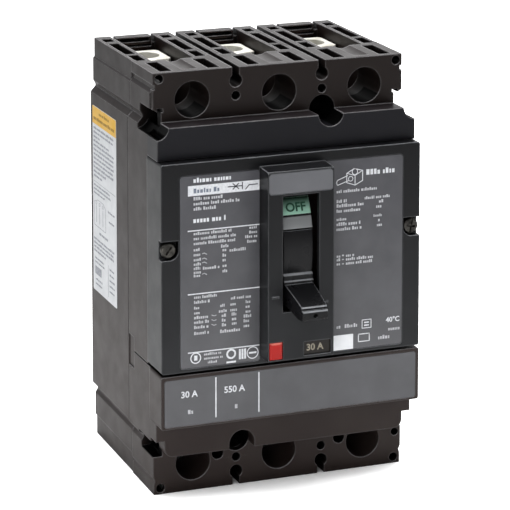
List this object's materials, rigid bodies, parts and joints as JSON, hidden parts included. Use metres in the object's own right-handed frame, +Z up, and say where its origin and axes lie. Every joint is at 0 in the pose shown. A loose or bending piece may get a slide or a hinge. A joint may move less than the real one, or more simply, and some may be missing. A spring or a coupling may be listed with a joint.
{
  "type": "molded case circuit breaker",
  "caption": "Front-operated molded circuit breaker with toggle handle, push-to-trip button, rating plates, screw-clamp lugs at both ends and full inner works.",
  "frame": {"origin": "centre of the two-hole mounting pattern, on the flat back", "axes": "+X to the right seen from the front, -Y towards the front, +Z up towards the line terminals"},
  "size_m": [0.1046, 0.1041, 0.162],
  "materials": {
    "housing": "warm dark grey moulded thermoset, fine matte grain",
    "cover": "near-black satin moulded plastic",
    "plate": "mid grey printed plate, satin",
    "label": "white printed film label",
    "amber": "dark brown tinted window",
    "dark_steel": "black zinc screw",
    "steel": "bright zinc-plated steel",
    "lug": "tin-plated aluminium, as extruded",
    "copper": "copper bar",
    "silver": "silver alloy contact pad",
    "chute": "plated steel splitter plates in fibre cheeks",
    "shaft_plastic": "brown moulded thermoset",
    "handle_plastic": "black satin moulded plastic",
    "green": "green enamel flag",
    "flag_grey": "pale grey flag",
    "red": "red moulded button",
    "bimetal": "bimetal strip"
  },
  "bodies": {
    "housing": {"rear_housing": "housing", "main_cover": "housing", "trip_unit_cover": "housing", "accessory_cover": "cover", "left_plate": "plate", "right_plate": "plate", "trip_plate": "plate", "nameplate": "plate", "side_label": "label", "blank_sticker": "label", "rating_window": "amber", "cover_screws": "dark_steel", "case_screws": "steel", "line_lug_a": "lug", "line_lug_b": "lug", "line_lug_c": "lug", "load_lug_a": "lug", "load_lug_b": "lug", "load_lug_c": "lug", "line_strap_a": "copper", "line_strap_b": "copper", "line_strap_c": "copper", "load_strap_a": "copper", "load_strap_b": "copper", "load_strap_c": "copper", "arc_chute_a": "chute", "arc_chute_b": "chute", "arc_chute_c": "chute", "fixed_contacts": "silver", "mechanism_frame": "steel", "bimetals": "bimetal", "magnet_yokes": "steel", "armature_pins": "steel", "trip_button_spring": "steel"},
    "handle": {"toggle_handle": "handle_plastic", "off_flag": "green", "on_flag": "flag_grey", "handle_yoke": "steel", "main_spring": "steel"},
    "contact_shaft": {"pole_shaft": "shaft_plastic", "moving_contacts": "silver", "contact_arm_a": "copper", "contact_arm_b": "copper", "contact_arm_c": "copper"},
    "upper_link": {"upper_links": "steel", "toggle_pin": "steel"},
    "lower_link": {"lower_links": "steel"},
    "latch": {"latch_lever": "steel"},
    "trip_shaft": {"trip_bar": "shaft_plastic"},
    "button": {"trip_button": "red"},
    "line_clamp_a": {"line_screw_a": "steel"},
    "line_clamp_b": {"line_screw_b": "steel"},
    "line_clamp_c": {"line_screw_c": "steel"},
    "load_clamp_a": {"load_screw_a": "steel"},
    "load_clamp_b": {"load_screw_b": "steel"},
    "load_clamp_c": {"load_screw_c": "steel"},
    "flap_a": {"armature_a": "steel"},
    "flap_b": {"armature_b": "steel"},
    "flap_c": {"armature_c": "steel"}
  },
  "joints": [
    {"name": "handle_swing", "type": "hinge", "parent": "housing", "child": "handle", "pos_m": [0, -0.048, 0.01385], "axis": [-1, 0, 0], "range_deg": [-2, 43], "deforming": ["main_spring"]},
    {"name": "contact_shaft_turn", "type": "hinge", "parent": "housing", "child": "contact_shaft", "pos_m": [0, -0.024, 0.014], "axis": [-1, 0, 0], "range_deg": [-2, 40.1]},
    {"name": "upper_link_swing", "type": "hinge", "parent": "housing", "child": "upper_link", "pos_m": [0, -0.05, 0.004], "axis": [-1, 0, 0], "range_deg": [-2, 38]},
    {"name": "lower_link_swing", "type": "hinge", "parent": "contact_shaft", "child": "lower_link", "pos_m": [0, -0.0355, 0.02], "axis": [-1, 0, 0], "range_deg": [-76, 4]},
    {"name": "trip_button_push", "type": "slide", "parent": "housing", "child": "button", "axis": [0, 1, 0], "range_m": [0, 0.003], "stiffness_N_per_m": 400, "springref_m": -0.004, "deforming": ["trip_button_spring"]},
    {"name": "trip_shaft_turn", "type": "hinge", "parent": "housing", "child": "trip_shaft", "pos_m": [0, -0.034, -0.036], "axis": [-1, 0, 0], "range_deg": [0, 13]},
    {"name": "latch_swing", "type": "hinge", "parent": "housing", "child": "latch", "pos_m": [0, -0.055, -0.0026], "axis": [-1, 0, 0], "range_deg": [0, 10.5]},
    {"name": "line_screw_a_drive", "type": "slide", "parent": "housing", "child": "line_clamp_a", "axis": [0, 1, 0], "range_m": [0, 0.0105]},
    {"name": "line_screw_b_drive", "type": "slide", "parent": "housing", "child": "line_clamp_b", "axis": [0, 1, 0], "range_m": [0, 0.0105]},
    {"name": "line_screw_c_drive", "type": "slide", "parent": "housing", "child": "line_clamp_c", "axis": [0, 1, 0], "range_m": [0, 0.0105]},
    {"name": "load_screw_a_drive", "type": "slide", "parent": "housing", "child": "load_clamp_a", "axis": [0, 1, 0], "range_m": [0, 0.0105]},
    {"name": "load_screw_b_drive", "type": "slide", "parent": "housing", "child": "load_clamp_b", "axis": [0, 1, 0], "range_m": [0, 0.0105]},
    {"name": "load_screw_c_drive", "type": "slide", "parent": "housing", "child": "load_clamp_c", "axis": [0, 1, 0], "range_m": [0, 0.0105]},
    {"name": "armature_a_pull", "type": "hinge", "parent": "housing", "child": "flap_a", "pos_m": [-0.035, -0.01975, -0.051], "axis": [-1, 0, 0], "range_deg": [0, 9]},
    {"name": "armature_b_pull", "type": "hinge", "parent": "housing", "child": "flap_b", "pos_m": [0, -0.01975, -0.051], "axis": [-1, 0, 0], "range_deg": [0, 9]},
    {"name": "armature_c_pull", "type": "hinge", "parent": "housing", "child": "flap_c", "pos_m": [0.035, -0.01975, -0.051], "axis": [-1, 0, 0], "range_deg": [0, 9]}
  ],
  "couplings": [
    {"joint": "contact_shaft_turn", "follows": "handle_swing", "ratio": 0.93023},
    {"joint": "upper_link_swing", "follows": "handle_swing", "ratio": 0.865},
    {"joint": "lower_link_swing", "follows": "handle_swing", "ratio": -1.74},
    {"joint": "trip_shaft_turn", "follows": "trip_button_push", "rad_per_m": 74.47},
    {"joint": "latch_swing", "follows": "trip_button_push", "rad_per_m": 58.18}
  ]
}
